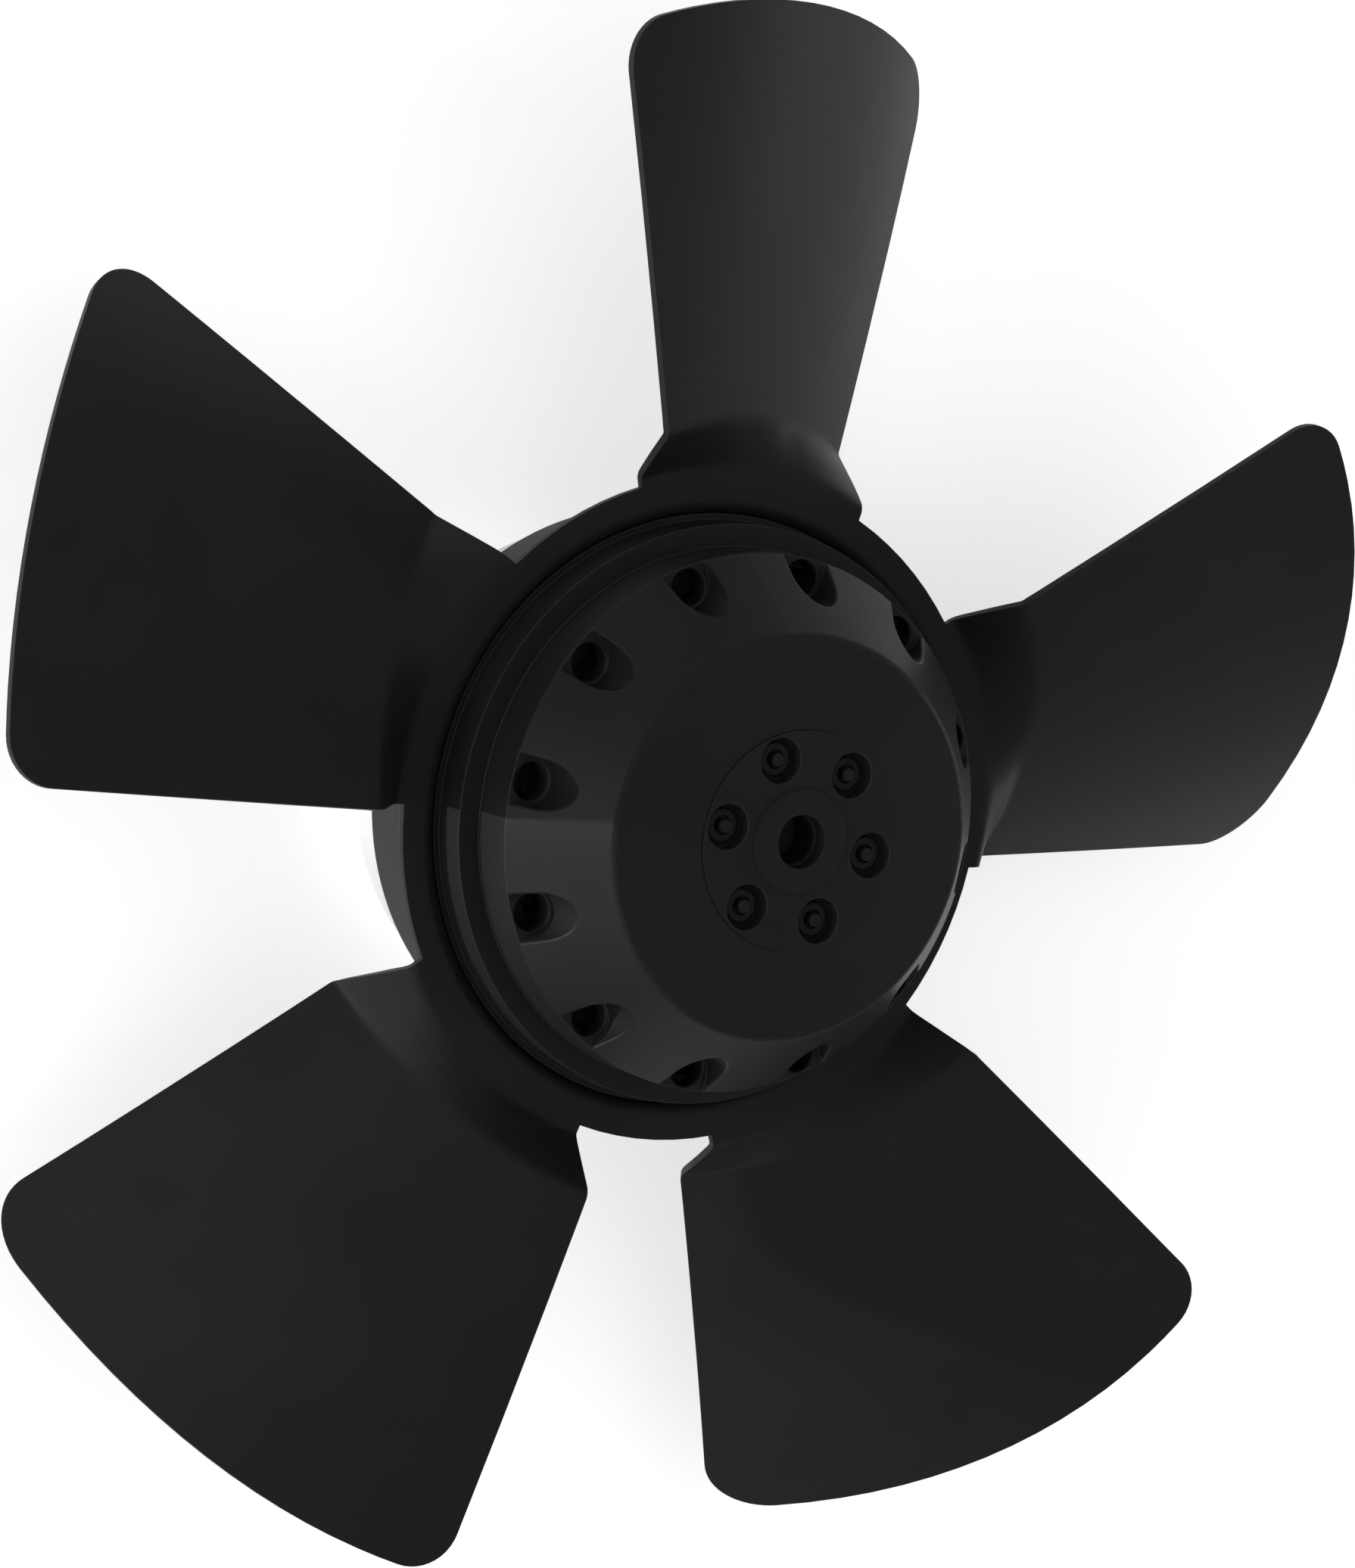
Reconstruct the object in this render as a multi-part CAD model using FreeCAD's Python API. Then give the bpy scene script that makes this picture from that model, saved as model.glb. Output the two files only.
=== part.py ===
import FreeCAD, Part

# Axial fan with an external rotor motor. A five-blade sheet impeller is pressed on the
# rotor's seat, and the rotor turns on two ball bearings in the tube of a cast rear flange.
#
# Frame, millimetres: +Z runs along the shaft to the front, out of the rotor's flat face.
# The origin is the centre of the flange's rear mounting face. The first blade points
# along +Y. A depth is measured back from the rotor's flat front face.

import math
import os

from BOPTools import SplitAPI
from FreeCAD import Vector

os.makedirs("parts", exist_ok=True)

# Rotor, outside. The motor's sizes follow from body_r and from the iron's place and length.
body_r = 80.0
seat_r = body_r + 3.1              # seat of the impeller's collar
stop_r = seat_r + 3.3              # ring that the collar is pressed against
stop_width = 3.0
band_r = seat_r - 1.7              # raised band behind the neck
shoulder_r = band_r - 6.2          # crisp outer edge of the conical shoulder
face_corner_r = shoulder_r - 19.5  # where face and shoulder would meet without the rounding
face_corner_depth = 3.9            # the face falls away this much from the hub disc to its rim
face_step = 0.6                    # hub disc stands proud of the face
face_round = 2.6
shoulder_depth = 29.2
neck_depth = shoulder_depth + 14.2
plate_depth = neck_depth + 8.9     # front of the impeller's annulus
band_depth = plate_depth + 2.1
iron_depth = neck_depth + 6.6      # front of the laminations
iron_length = 40.0
body_depth = iron_depth + iron_length + 6.5
rear_space = 34.0                  # from the laminations to the mounting face
face_height = iron_depth + iron_length + rear_space

# Rotor, inside
face_wall = 8.0
shoulder_wall = 5.0
body_wall = 4.0
body_inner_r = body_r - body_wall
neck_inner_r = shoulder_r - 3.2

# Vent pockets in the shoulder
vent_count = 12
vent_circle_r = shoulder_r - 5.2
pocket_r = 6.7
pocket_flare = 3.0                 # degrees that each side opens outwards
pocket_lip_round = 0.8
vent_hole_r = 5.25
vent_hole_bevel = 0.4
vent_hole_circle_r = vent_circle_r - 0.9
vent_floor = 5.3                   # metal under the pocket's flat floor
vent_boss_wall = 2.4
vent_phase = -6.0                  # degrees from the first blade's direction

# Hub disc, riveted into the face
hub_r = 30.4
hub_edge_round = 0.25
hub_seat_gap = 0.12
hub_thickness = 8.0
hub_web = 5.0                      # ring of the rotor that carries the hub disc
hub_web_r = hub_r + 6.6
hub_ring_r = 14.3
hub_ring_height = 1.0
hub_ring_round = 0.3
hub_mouth_r = 7.55                 # visible bore
hub_mouth_depth = 4.0
hub_bore_r = 7.0
hub_boss_r = 17.0
hub_boss_gap = 0.5

# Rivets
rivet_count = 6
rivet_circle_r = 23.44
rivet_phase = vent_phase - 180.0 / rivet_count   # in line with every other vent
sink_r = 6.32
sink_depth = 4.4
sink_bevel = 0.2
rivet_head_r = 4.8
rivet_head_height = 1.35
rivet_head_round = 0.7
rivet_mouth_r = 2.8
rivet_mouth_depth = 1.6
rivet_shank_r = 3.6
rivet_hole_gap = 0.05
rivet_tail_r = 4.9
rivet_tail_length = 4.0
rivet_tail_round = 1.2
rivet_pin_r = 1.85
rivet_pin_gap = 0.03
rivet_pin_height = 1.6             # pin's end stands out of the head
rivet_pin_round = 0.2

# Impeller
fan_r = 225.0
blade_count = 5
sheet = 2.0
plate_r = seat_r + 10.6
roll_r = 4.0                       # outside radius of the rolled inner edge
collar_length = 13.0               # from the front of the annulus to the collar's rear edge
collar_gap = 0.02
lead_offset = 4.9                  # leading side, in plan, where it would cross the shaft's axis
lead_angle = 17.84
trail_offset = -16.9
trail_angle = -14.40
camber_r = 252.1                   # radius of the blade's cylindrical curve
camber_axis_v = 108.9
camber_axis_depth = plate_depth + 224.6
tip_arc_r = 183.5
tip_arc_v = -1.5
lead_corner_r = 13.4
trail_corner_r = 16.5
flank_inner_r = plate_r + 3.3      # formed step between annulus and blade, in plan
flank_outer_r = flank_inner_r + 13.4
flank_bend = 1.2
step_row_gap = 0.8                 # between rows of surface poles over the formed step
step_rows = 34
blade_rows_wide = 10               # rows from the step to the tip
row_growth = 1.2                   # exponent that spreads those rows
surface_margin = 15.0              # surface runs this far past the tip
surface_columns = 10
trim_spacing = 2.5                 # between points of the trimming wall

# Bearings
shaft_r = 8.5
bearing_r = 20.0
bearing_width = 12.0
bearing_inner_r = 12.2
bearing_outer_r = 16.3
ball_count = 8
ball_r = 3.37
ball_gap = 0.06
ball_cage_wall = 1.7
ball_cage_width = 9.0
bearing_fit = 0.01
front_bearing_depth = iron_depth - 15.0
rear_bearing_height = 20.0         # front of the rear bearing above the mounting face
rear_bearing_depth = face_height - rear_bearing_height
shield_thickness = 0.5
shield_inset = 0.3
shield_gap = 0.4
spring_space = 2.0
spring_sheet = 0.5
spring_waves = 3
spring_play = 0.1
spring_inner_gap = 0.6
spring_outer_gap = 0.3

# Shaft
shaft_collar_r = 11.0
shaft_collar_length = 4.0
hub_length = front_bearing_depth - shaft_collar_length - 1.0
shaft_front_depth = hub_length - 16.0
clip_thickness = 1.2
clip_width = 3.4
clip_groove = 0.6
clip_opening = 50.0                # degrees
clip_depth = rear_bearing_depth + bearing_width
shaft_end_depth = clip_depth + clip_thickness + 1.8
centre_hole_r = 2.5

# Rotor and stator iron
tube_r = 26.0                      # bearing tube of the flange, which carries the stator iron
air_gap = 0.5
rotor_iron_width = 14.0
stator_r = body_inner_r - rotor_iron_width - air_gap
rotor_iron_gap = 0.02
bar_count = 30
bar_r = 2.3
bar_gap = 0.03
bar_circle_r = stator_r + 5.0
end_ring_width = 6.0
end_ring_height = 4.5
slot_count = 24
slot_width = 6.0
slot_outer_r = stator_r - 4.0
slot_inner_r = tube_r + 12.0
slot_mouth = 2.5
board_thickness = 1.5
board_step = 1.0                   # the board's rim stands back from the iron's
coil_gap = 0.3
coil_outer_r = slot_outer_r + 1.5
coil_inner_r = slot_inner_r - 3.0
board_inner_r = coil_inner_r - 2.0
coil_height = 11.5
coil_round = (coil_outer_r - coil_inner_r) * 0.2
coil_foot_round = 1.0

# Stator flange
tube_front_depth = front_bearing_depth - 1.5
tube_waist_r = 17.5
iron_fit = 0.02
flange_r = body_inner_r - 4.8
flange_draft = 1.3                 # the wall is this much wider at its front
flange_lip_depth = body_depth - 1.0
flange_wall = 3.6
flange_lip_wall = 2.6
flange_edge_round = 1.0
flange_fillet = 3.0
plate_thickness = 5.0
foot_height = 3.0                  # mounting rim and bosses stand out behind the plate
foot_width = 9.0
centre_foot_r = 30.0
rib_count = 8
rib_thickness = 3.0
rib_height = 8.0
mount_count = 4
mount_circle_r = (centre_foot_r + flange_r - foot_width) / 2 + 3.9
mount_hole_r = 3.0
mount_hole_depth = 12.0
mount_boss_r = 8.0
mount_boss_height = 8.0
mount_phase = 45.0
cap_r = 22.4
cap_sheet = 1.0
cap_depth = 4.2                    # from the mounting face to the front of the cap
cap_fit = 0.03
cap_round = 1.2
cap_inner_round = 0.4
cap_inset = 0.6                    # cap's rim in front of the mounting face
grommet_circle_r = mount_circle_r - 4.0
grommet_angle = -90.0
grommet_hole_r = 7.0
grommet_lip = 1.8
grommet_bore_r = 3.6
grommet_fit = 0.05
grommet_round = 0.6
earth_circle_r = mount_circle_r - 3.0
earth_angle = 0.0
earth_boss_r = 5.0
earth_head_r = 3.8
earth_head_height = 2.0
earth_head_round = 0.6
earth_shank_r = 2.0
earth_shank_length = 6.0
earth_fit = 0.03
earth_inset = 0.4                  # screw head in front of the mounting face
earth_slot_width = 0.8
earth_slot_depth = 1.0
earth_slot_reach = 2.3
cutout_length = 16.0
cutout_width = 7.0
cutout_height = 3.5
cutout_circle_r = (coil_inner_r + coil_outer_r) / 2
cutout_angle = 90.0

past = 1.0                         # how far a cutting solid runs past what it opens
sunk = 2.0                         # how far a joined solid runs into its neighbour

up = Vector(0, 0, 1)
centre = Vector(0, 0, 0)
blade_step = 360.0 / blade_count
first_blade = 90.0


def level(depth):
    """Height above the mounting face of a depth behind the rotor's front face."""
    return face_height - depth


def around(radius, angle, height=0.0):
    turn = math.radians(angle)
    return Vector(radius * math.cos(turn), radius * math.sin(turn), height)


def rounded_corner(before, corner, after, radius):
    """Start, middle and end of the arc that rounds one corner."""
    back = (before - corner).normalize()
    ahead = (after - corner).normalize()
    half = back.getAngle(ahead) / 2
    reach = radius / math.tan(half)
    inwards = (back + ahead).normalize()
    middle = corner + inwards * (radius / math.sin(half) - radius)
    return corner + back * reach, middle, corner + ahead * reach


def closed_wire(points):
    """Closed wire through points in one plane; a point given as (point, radius) is rounded."""
    corners = [item if isinstance(item, tuple) else (item, 0) for item in points]
    stretches = []
    for index, (corner, radius) in enumerate(corners):
        if radius == 0:
            stretches.append((corner, None, corner))
            continue
        before = corners[index - 1][0]
        after = corners[(index + 1) % len(corners)][0]
        stretches.append(rounded_corner(before, corner, after, radius))
    edges = []
    for index, (start, middle, end) in enumerate(stretches):
        last = stretches[index - 1][2]
        if last.distanceToPoint(start) > 1e-6:
            edges.append(Part.LineSegment(last, start).toShape())
        if middle is not None:
            edges.append(Part.Arc(start, middle, end).toShape())
    return Part.Wire(edges)


def turned(points):
    """Solid of revolution about Z from (radius, height) or (radius, height, rounding)."""
    places = []
    for point in points:
        place = Vector(point[0], 0, point[1])
        places.append((place, point[2]) if len(point) > 2 else place)
    return Part.Face(closed_wire(places)).revolve(centre, up, 360)


def ring(outer, inner, low, high):
    return turned([(inner, low), (outer, low), (outer, high), (inner, high)])


def rod(radius, low, high, place=centre):
    return Part.makeCylinder(radius, high - low, Vector(place.x, place.y, low), up)


def bevel_cone(radius, bevel, depth, circle_r):
    """Cutter that bevels a hole's mouth at the given depth."""
    return Part.makeCone(radius, radius + bevel, bevel, Vector(circle_r, 0, level(depth + bevel)), up)


def block(length, width, low, high, angle, middle_r):
    """Box whose length lies along the radius at the given angle."""
    box = Part.makeBox(length, width, high - low, Vector(middle_r - length / 2, -width / 2, low))
    return spun(box, angle)


def spun(shape, angle):
    copy = shape.copy()
    copy.rotate(centre, up, angle)
    return copy


def repeated(shape, count, phase=0.0):
    return [spun(shape, phase + index * 360.0 / count) for index in range(count)]


def moved(shape, place):
    copy = shape.copy()
    copy.translate(place)
    return copy


def single(shape):
    """The one solid of a boolean's result, tidied of split faces."""
    return shape.removeSplitter().Solids[0]


def save(name, solids):
    shape = solids[0] if len(solids) == 1 else Part.makeCompound(solids)
    shape.exportStep("parts/" + name + ".step")


# Rotor cup: one casting with face, conical shoulder, neck, band, collar seat and body.

hub_seat_r = hub_r + hub_seat_gap
stop_depth = plate_depth + collar_length


def shoulder_outer(depth):
    """Radius of the conical shoulder at a depth."""
    share = (depth - face_corner_depth) / (shoulder_depth - face_corner_depth)
    return face_corner_r + (shoulder_r - face_corner_r) * share


def shoulder_inner(depth):
    """Radius of the shoulder's inner wall at a depth."""
    fall = shoulder_depth - face_corner_depth
    return shoulder_outer(depth) - shoulder_wall * math.hypot(shoulder_r - face_corner_r, fall) / fall


def make_rotor_cup():
    outside = turned([
        (0, level(face_step)),
        (hub_seat_r, level(face_step)),
        (face_corner_r, level(face_corner_depth), face_round),
        (shoulder_r, level(shoulder_depth)),
        (shoulder_r, level(neck_depth)),
        (band_r, level(neck_depth)),
        (band_r, level(band_depth)),
        (seat_r, level(band_depth)),
        (seat_r, level(stop_depth)),
        (stop_r, level(stop_depth)),
        (stop_r, level(stop_depth + stop_width)),
        (body_r, level(stop_depth + stop_width)),
        (body_r, level(body_depth)),
        (0, level(body_depth)),
    ])
    seam_angle = first_blade + vent_phase + 180.0 / vent_count
    outside = spun(outside, seam_angle)
    floor_depth = shoulder_depth + vent_floor
    web_depth = hub_thickness + hub_web
    rim_depth = face_corner_depth + face_wall
    cavity = turned([
        (0, level(web_depth)),
        (hub_web_r, level(web_depth)),
        (hub_web_r + hub_web, level(face_wall)),
        (shoulder_inner(rim_depth), level(rim_depth)),
        (min(shoulder_inner(floor_depth), neck_inner_r), level(floor_depth)),
        (neck_inner_r, level(floor_depth)),
        (neck_inner_r, level(iron_depth)),
        (body_inner_r, level(iron_depth)),
        (body_inner_r, level(body_depth + past)),
        (0, level(body_depth + past)),
    ])
    boss = rod(pocket_r + vent_boss_wall, level(floor_depth), level(0), Vector(vent_circle_r, 0, 0))
    cavity = cavity.cut(repeated(boss, vent_count, first_blade + vent_phase))
    cup = outside.cut(cavity)
    cup = cup.cut(rod(hub_seat_r, level(hub_thickness), level(-past)))
    cup = cup.cut(rod(hub_boss_r + hub_boss_gap, level(web_depth + past), level(0)))
    cup = cup.cut(repeated(rivet_hole(), rivet_count, first_blade + rivet_phase))
    cup = single(cup.cut(repeated(vent_pocket(), vent_count, first_blade + vent_phase)))
    return cup.makeFillet(pocket_lip_round, pocket_lips(cup))


def pocket_lips(cup):
    """Edges where the pockets' side walls break through the conical shoulder."""
    lips = []
    for edge in cup.Edges:
        middle = edge.valueAt((edge.FirstParameter + edge.LastParameter) / 2)
        depth = face_height - middle.z
        stray = math.hypot(middle.x, middle.y) - shoulder_outer(depth)
        if face_wall < depth < shoulder_depth - pocket_lip_round and abs(stray) < hub_seat_gap:
            lips.append(edge)
    return lips


def vent_pocket():
    """U-shaped pocket, open outwards, with the round hole in its floor."""
    flare = math.radians(pocket_flare)
    side = Vector(-math.sin(flare), math.cos(flare), 0) * pocket_r
    reach = shoulder_r - vent_circle_r + 2 * vent_hole_circle_r / vent_count
    run = Vector(math.cos(flare), math.sin(flare), 0) * reach
    middle = Vector(vent_circle_r, 0, 0)
    left = middle + side
    left_end = left + run
    right = Vector(left.x, -left.y, 0)
    right_end = Vector(left_end.x, -left_end.y, 0)
    wire = Part.Wire([
        Part.Arc(right, middle - Vector(pocket_r, 0, 0), left).toShape(),
        Part.LineSegment(left, left_end).toShape(),
        Part.LineSegment(left_end, right_end).toShape(),
        Part.LineSegment(right_end, right).toShape(),
    ])
    pocket = moved(Part.Face(wire).extrude(up * shoulder_depth), up * level(shoulder_depth))
    hole = rod(vent_hole_r, level(shoulder_depth + vent_floor + past), level(shoulder_depth - past),
               Vector(vent_hole_circle_r, 0, 0))
    return pocket.fuse([hole, bevel_cone(vent_hole_r, vent_hole_bevel, shoulder_depth, vent_hole_circle_r)])


def rivet_hole():
    place = Vector(rivet_circle_r, 0, 0)
    return rod(rivet_shank_r + rivet_hole_gap, level(hub_thickness + hub_web + past), level(0), place)


# Hub disc with its raised ring, stepped bore and rivet sinks.

def make_hub():
    body = turned([
        (hub_mouth_r, level(-hub_ring_height)),
        (hub_ring_r, level(-hub_ring_height), hub_ring_round),
        (hub_ring_r, level(0)),
        (hub_r, level(0), hub_edge_round),
        (hub_r, level(hub_thickness)),
        (hub_boss_r, level(hub_thickness)),
        (hub_boss_r, level(hub_length)),
        (shaft_r, level(hub_length)),
        (shaft_r, level(shaft_front_depth)),
        (hub_bore_r, level(shaft_front_depth)),
        (hub_bore_r, level(hub_mouth_depth)),
        (hub_mouth_r, level(hub_mouth_depth)),
    ])
    sink = rod(sink_r, level(sink_depth), level(-past), Vector(rivet_circle_r, 0, 0))
    sink = sink.fuse(bevel_cone(sink_r, sink_bevel, 0, rivet_circle_r))
    phase = first_blade + rivet_phase
    cuts = repeated(sink, rivet_count, phase) + repeated(rivet_hole(), rivet_count, phase)
    return single(body.cut(cuts))


def make_rivets():
    top = level(sink_depth - rivet_head_height)
    floor = level(sink_depth)
    tail = level(hub_thickness + hub_web)
    body = turned([
        (rivet_pin_r + rivet_pin_gap, top - rivet_mouth_depth),
        (rivet_mouth_r, top - rivet_mouth_depth),
        (rivet_mouth_r, top),
        (rivet_head_r, top, rivet_head_round),
        (rivet_head_r, floor),
        (rivet_shank_r, floor),
        (rivet_shank_r, tail),
        (rivet_tail_r, tail),
        (rivet_tail_r, tail - rivet_tail_length, rivet_tail_round),
        (rivet_pin_r + rivet_pin_gap, tail - rivet_tail_length),
    ])
    return repeated(moved(body, Vector(rivet_circle_r, 0, 0)), rivet_count, first_blade + rivet_phase)


def make_rivet_pins():
    top = level(sink_depth - rivet_head_height - rivet_pin_height)
    low = level(hub_thickness + hub_web) - rivet_tail_length
    body = turned([(0, low), (rivet_pin_r, low), (rivet_pin_r, top, rivet_pin_round), (0, top)])
    return repeated(moved(body, Vector(rivet_circle_r, 0, 0)), rivet_count, first_blade + rivet_phase)


# Impeller: annulus with a rolled collar and formed blades, one piece of sheet.

def camber_height(v):
    """Height of the blade's mid surface at a distance v across the blade."""
    return level(camber_axis_depth) + math.sqrt(camber_r ** 2 - (v - camber_axis_v) ** 2)


def step_share(radius):
    """0 on the annulus, 1 on the blade, with a rounded start and end of the step."""
    width = flank_outer_r - flank_inner_r
    share = (radius - flank_inner_r) / width
    bend = flank_bend / width
    if share <= -bend:
        return 0.0
    if share < bend:
        return (share + bend) ** 2 / (4 * bend)
    if share <= 1 - bend:
        return share
    if share < 1 + bend:
        return 1 - (1 + bend - share) ** 2 / (4 * bend)
    return 1.0


def sheet_height(u, v):
    plate = level(plate_depth) - sheet / 2
    return plate + (camber_height(v) - plate) * step_share(math.hypot(u, v))


def sheet_point(u, v, side):
    """Point half a sheet in front of or behind the mid surface."""
    small = 0.02
    slope_u = (sheet_height(u + small, v) - sheet_height(u - small, v)) / (2 * small)
    slope_v = (sheet_height(u, v + small) - sheet_height(u, v - small)) / (2 * small)
    normal = Vector(-slope_u, -slope_v, 1).normalize()
    return Vector(u, v, sheet_height(u, v)) + normal * (side * sheet / 2)


def side_bearing(radius, offset, angle):
    """Direction, in degrees, of the point where a blade side crosses a circle about the shaft."""
    slope = math.radians(angle)
    return angle + math.degrees(math.asin(offset * math.cos(slope) / radius))


def blade_rows():
    """Radii of the pole rows: close together over the formed step, wide over the blade."""
    start = plate_r - 3 * step_row_gap
    rows = [start + index * step_row_gap for index in range(step_rows)]
    start = rows[-1]
    reach = fan_r + surface_margin - start
    for index in range(blade_rows_wide):
        rows.append(start + reach * ((index + 1) / blade_rows_wide) ** row_growth)
    return rows


def sheet_surface(side, rows):
    """Cubic surface of one side of the sheet, wider than the blade on every side."""
    columns = surface_columns
    poles = []
    for radius in rows:
        low = side_bearing(radius, trail_offset - 2 * sheet, trail_angle)
        high = side_bearing(radius, lead_offset + 2 * sheet, lead_angle)
        row = []
        for index in range(columns + 1):
            place = around(radius, low + (high - low) * index / columns)
            row.append(sheet_point(place.x, place.y, side))
        poles.append(row)
    surface = Part.BSplineSurface()
    surface.buildFromPolesMultsKnots(
        poles, end_knots(len(rows)), end_knots(columns + 1),
        list(range(len(rows) - 2)), list(range(columns - 1)), False, False, 3, 3)
    return surface


def end_knots(pole_count):
    """Multiplicities of a cubic with evenly spaced knots that reaches its end poles."""
    return [4] + [1] * (pole_count - 4) + [4]


def make_wide_sheet():
    rows = blade_rows()
    front = sheet_surface(1, rows)
    back = sheet_surface(-1, rows)
    last_u, last_v = front.bounds()[1], front.bounds()[3]
    rims = [(front.uIso(0), back.uIso(0)), (front.uIso(last_u), back.uIso(last_u)),
            (front.vIso(0), back.vIso(0)), (front.vIso(last_v), back.vIso(last_v))]
    faces = [front.toShape(), back.toShape()]
    faces += [Part.makeRuledSurface(one.toShape(), other.toShape()) for one, other in rims]
    shell = Part.makeShell(faces)
    shell.sewShape()
    return Part.makeSolid(shell)


def tip_corner(offset, angle, radius, inwards):
    """Arc in plan that joins a straight side to the tip arc, from the side outwards."""
    along = around(1, angle)
    across = Vector(-along.y, along.x, 0) * inwards
    tip_centre = Vector(fan_r - tip_arc_r, tip_arc_v, 0)
    base = Vector(0, offset, 0) + across * radius
    gap = base - tip_centre
    part = gap.dot(along)
    run = -part + math.sqrt(part ** 2 - gap.dot(gap) + (tip_arc_r - radius) ** 2)
    middle = base + along * run
    on_side = middle - across * radius
    on_tip = middle + (middle - tip_centre).normalize() * radius
    bisector = ((on_side - middle) + (on_tip - middle)).normalize()
    return on_side, middle + bisector * radius, on_tip


def blade_outline():
    """Edges in plan: trailing side, corner, tip, corner, leading side."""
    trail = tip_corner(trail_offset, trail_angle, trail_corner_r, 1)
    lead = tip_corner(lead_offset, lead_angle, lead_corner_r, -1)
    start_r = plate_r - 4 * sheet
    root_trail = around(start_r, side_bearing(start_r, trail_offset, trail_angle))
    root_lead = around(start_r, side_bearing(start_r, lead_offset, lead_angle))
    return [
        Part.LineSegment(root_trail, trail[0]).toShape(),
        Part.Arc(*trail).toShape(),
        Part.Arc(trail[2], Vector(fan_r, tip_arc_v, 0), lead[2]).toShape(),
        Part.Arc(lead[2], lead[1], lead[0]).toShape(),
        Part.LineSegment(lead[0], root_lead).toShape(),
    ]


def trim_wall():
    """Wall that follows the outline and stands square to the sheet everywhere."""
    faces = []
    for edge in blade_outline():
        plan = edge.discretize(max(6, int(edge.Length / trim_spacing)))
        rails = []
        for side in (2.0, -2.0):
            rail = Part.BSplineCurve()
            rail.interpolate([sheet_point(place.x, place.y, side) for place in plan])
            rails.append(rail.toShape())
        faces.append(Part.makeRuledSurface(rails[0], rails[1]))
    wall = Part.makeShell(faces)
    wall.sewShape()
    return wall


def make_blade():
    pieces = SplitAPI.slice(make_wide_sheet(), [trim_wall()], "Split", 0.0).Solids
    blade = max(pieces, key=lambda piece: piece.Volume)
    return blade.cut(rod(plate_r, level(face_height), level(0))).Solids[0]


def make_impeller():
    front = level(plate_depth)
    collar_r = seat_r + collar_gap
    collar_end = level(plate_depth + collar_length)
    annulus = turned([
        (plate_r, front),
        (plate_r, front - sheet),
        (collar_r + sheet, front - sheet, roll_r - sheet),
        (collar_r + sheet, collar_end),
        (collar_r, collar_end),
        (collar_r, front, roll_r),
    ])
    blades = repeated(make_blade(), blade_count, first_blade)
    return single(annulus.fuse(blades))


# Shaft, with a collar for the front bearing and a groove for the retaining ring.

def make_shaft():
    groove_r = shaft_r - clip_groove
    clip = clip_depth
    collar_start = front_bearing_depth - shaft_collar_length
    body = turned([
        (0, level(shaft_front_depth)),
        (shaft_r, level(shaft_front_depth)),
        (shaft_r, level(collar_start)),
        (shaft_collar_r, level(collar_start)),
        (shaft_collar_r, level(front_bearing_depth)),
        (shaft_r, level(front_bearing_depth)),
        (shaft_r, level(clip)),
        (groove_r, level(clip)),
        (groove_r, level(clip + clip_thickness)),
        (shaft_r, level(clip + clip_thickness)),
        (shaft_r, level(shaft_end_depth)),
        (0, level(shaft_end_depth)),
    ])
    front_hole = Part.makeCone(0, centre_hole_r, centre_hole_r,
                               up * (level(shaft_front_depth) - centre_hole_r), up)
    rear_hole = Part.makeCone(centre_hole_r, 0, centre_hole_r, up * level(shaft_end_depth), up)
    return single(body.cut([front_hole, rear_hole]))


def make_retaining_ring():
    top = level(clip_depth)
    inner = shaft_r - clip_groove
    clip = ring(inner + clip_width, inner, top - clip_thickness, top)
    far = 2 * (inner + clip_width)
    half = math.radians(clip_opening / 2)
    corner = Vector(far * math.cos(half), far * math.sin(half), 0)
    mirror = Vector(corner.x, -corner.y, 0)
    wedge = Part.Face(Part.makePolygon([centre, corner, mirror, centre])).extrude(up * face_height)
    return single(clip.cut(wedge))


# Deep-groove ball bearings: rings, balls, ball cage and two shields each.

def make_bearing(place, front_depth):
    """Pieces of one bearing by name; its front face lies at front_depth."""
    high = level(front_depth)
    low = high - bearing_width
    middle = (high + low) / 2
    pitch_r = (bearing_inner_r + bearing_outer_r) / 2
    track = Part.makeTorus(pitch_r, ball_r + ball_gap, Vector(0, 0, middle), up)
    inner = ring(bearing_inner_r, shaft_r + bearing_fit, low, high).cut(track)
    outer = ring(bearing_r - bearing_fit, bearing_outer_r, low, high).cut(track)
    ball = Part.makeSphere(ball_r, Vector(pitch_r, 0, middle))
    half_wall = ball_cage_wall / 2
    pocket = Part.makeCylinder(ball_r + ball_gap, 2 * ball_r, Vector(pitch_r - ball_r, 0, middle),
                               Vector(1, 0, 0))
    cage = ring(pitch_r + half_wall, pitch_r - half_wall,
                middle - ball_cage_width / 2, middle + ball_cage_width / 2)
    cage = cage.cut(repeated(pocket, ball_count))
    shields = []
    for edge in (low + shield_inset, high - shield_inset - shield_thickness):
        shields.append(ring(bearing_outer_r, bearing_inner_r + shield_gap,
                            edge, edge + shield_thickness))
    return {
        place + "_bearing_inner_ring": [single(inner)],
        place + "_bearing_outer_ring": [single(outer)],
        place + "_bearing_balls": repeated(ball, ball_count),
        place + "_bearing_cage": [single(cage)],
        place + "_bearing_shields": shields,
    }


def make_wave_spring():
    """Thin wavy washer between the tube's rear shoulder and the rear bearing."""
    middle = level(rear_bearing_depth - spring_space / 2) - spring_sheet / 2
    swing = (spring_space - spring_sheet) / 2 - spring_play
    rails = []
    for radius in (tube_waist_r + spring_inner_gap, bearing_r - spring_outer_gap):
        points = []
        steps = spring_waves * 8
        for index in range(steps):
            angle = index * 360.0 / steps
            height = middle + swing * math.sin(math.radians(angle * spring_waves))
            points.append(around(radius, angle, height))
        rail = Part.BSplineCurve()
        rail.interpolate(points, True)
        rails.append(rail.toShape())
    return Part.makeRuledSurface(rails[0], rails[1]).extrude(up * spring_sheet)


# Rotor iron: laminated ring and the cast cage whose bars run through it.

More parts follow.
